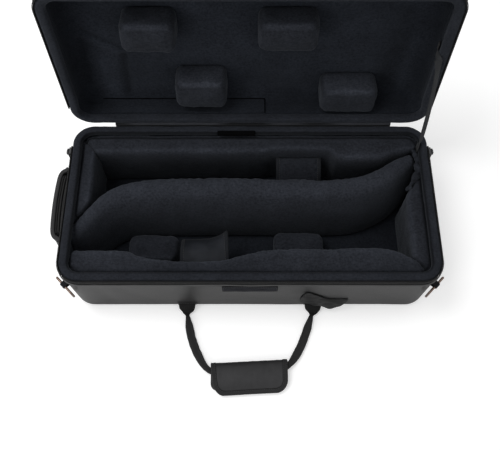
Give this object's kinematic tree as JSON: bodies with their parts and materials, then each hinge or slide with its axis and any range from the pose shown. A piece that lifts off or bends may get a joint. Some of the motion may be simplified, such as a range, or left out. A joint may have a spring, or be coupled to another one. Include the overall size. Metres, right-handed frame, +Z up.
{
  "type": "double trumpet case",
  "caption": "Long soft-sided instrument case with a hinged padded lid, curved plush divider, fitted pads, strap handles and corner rings.",
  "frame": {"origin": "centre of the base's underside", "axes": "+X along the case's length to the right seen from the front, +Y from the front wall to the lid hinge, +Z up"},
  "size_m": [0.6164, 0.5095, 0.3954],
  "materials": {
    "outer_vinyl": "smooth dark grey coated cloth, soft sheen",
    "plush": "short-pile blue-black plush",
    "board": "bare thin board, hidden",
    "webbing": "ribbed black webbing",
    "zipper_cloth": "woven zipper tape with a moulded coil",
    "ring_metal": "bright plated wire with a warm tint",
    "slider_metal": "dark enamel",
    "grip_vinyl": "grained black vinyl with bound edges",
    "loop_strip": "black loop pile strip"
  },
  "bodies": {
    "base": {"base_cover": "outer_vinyl", "base_frame": "board", "base_lining": "plush", "base_floor_pad": "plush", "base_piping": "outer_vinyl", "base_rim_roll": "plush", "base_zipper_tape": "zipper_cloth", "pad_back": "plush", "pad_front": "plush", "pad_left": "plush", "pad_right": "plush", "s_divider": "plush", "floor_block_front_left": "plush", "floor_block_front_right": "plush", "floor_block_rear_left": "plush", "floor_block_rear_right": "plush", "d_ring_tab_left": "webbing", "d_ring_tab_right": "webbing", "end_handle_block_front": "webbing", "end_handle_block_rear": "webbing", "end_handle_plate": "outer_vinyl", "end_handle_strap": "outer_vinyl", "front_patch": "loop_strip", "handle_anchor_left": "webbing", "handle_anchor_right": "webbing", "handle_flap": "outer_vinyl", "hinge_strip": "webbing", "rear_rim_tag": "grip_vinyl", "stay_strap": "webbing"},
    "lid": {"lid_cover": "outer_vinyl", "lid_frame": "board", "lid_lining": "plush", "lid_ceiling_pad": "plush", "lid_piping": "outer_vinyl", "lid_rim_roll": "plush", "lid_zipper_tape": "zipper_cloth", "lid_block_far_left": "plush", "lid_block_far_right": "plush", "lid_block_near_left": "plush", "lid_block_near_right": "plush", "lid_flap_panel": "plush", "stay_strap_patch": "webbing"},
    "front_handle": {"front_handle_webbing": "webbing", "front_handle_grip": "grip_vinyl"},
    "d_ring_left": {"d_ring_left": "ring_metal"},
    "d_ring_right": {"d_ring_right": "ring_metal"},
    "slider_left": {"zipper_slider_left": "slider_metal"},
    "slider_right": {"zipper_slider_right": "slider_metal"},
    "pull_left": {"zipper_pull_left": "slider_metal"},
    "pull_right": {"zipper_pull_right": "slider_metal"},
    "neck_strap_front": {"neck_strap_front": "grip_vinyl"},
    "neck_strap_rear": {"neck_strap_rear": "grip_vinyl"}
  },
  "joints": [
    {"name": "lid_hinge", "type": "hinge", "parent": "base", "child": "lid", "pos_m": [0, 0.1335, 0.1306], "axis": [1, 0, 0], "range_deg": [0, 97.5], "deforming": ["stay_strap", "hinge_strip"]},
    {"name": "front_handle_swing", "type": "hinge", "parent": "base", "child": "front_handle", "pos_m": [0, -0.1366, 0.0135], "axis": [-1, 0, 0], "range_deg": [0, 80]},
    {"name": "d_ring_swing_left", "type": "hinge", "parent": "base", "child": "d_ring_left", "pos_m": [-0.28178, -0.12728, 0.096], "axis": [-0.7071, 0.7071, 0], "range_deg": [-3, 110]},
    {"name": "d_ring_swing_right", "type": "hinge", "parent": "base", "child": "d_ring_right", "pos_m": [0.28178, -0.12728, 0.096], "axis": [-0.7071, -0.7071, 0], "range_deg": [-3, 110]},
    {"name": "slider_run_left", "type": "slide", "parent": "base", "child": "slider_left", "axis": [0, -1, 0], "range_m": [0, 0.165]},
    {"name": "slider_run_right", "type": "slide", "parent": "base", "child": "slider_right", "axis": [0, -1, 0], "range_m": [0, 0.165]},
    {"name": "pull_swing_left", "type": "hinge", "parent": "slider_left", "child": "pull_left", "pos_m": [-0.2929, 0.086, 0.12645], "axis": [0, 1, 0], "range_deg": [-3, 150]},
    {"name": "pull_swing_right", "type": "hinge", "parent": "slider_right", "child": "pull_right", "pos_m": [0.2929, 0.086, 0.12645], "axis": [0, -1, 0], "range_deg": [-3, 150]},
    {"name": "neck_strap_lift_front", "type": "hinge", "parent": "base", "child": "neck_strap_front", "pos_m": [-0.072, -0.0885, 0.0897], "axis": [1, 0, 0], "range_deg": [0, 75]},
    {"name": "neck_strap_lift_rear", "type": "hinge", "parent": "base", "child": "neck_strap_rear", "pos_m": [0.0805, 0.093, 0.0917], "axis": [-1, 0, 0], "range_deg": [0, 75]}
  ]
}
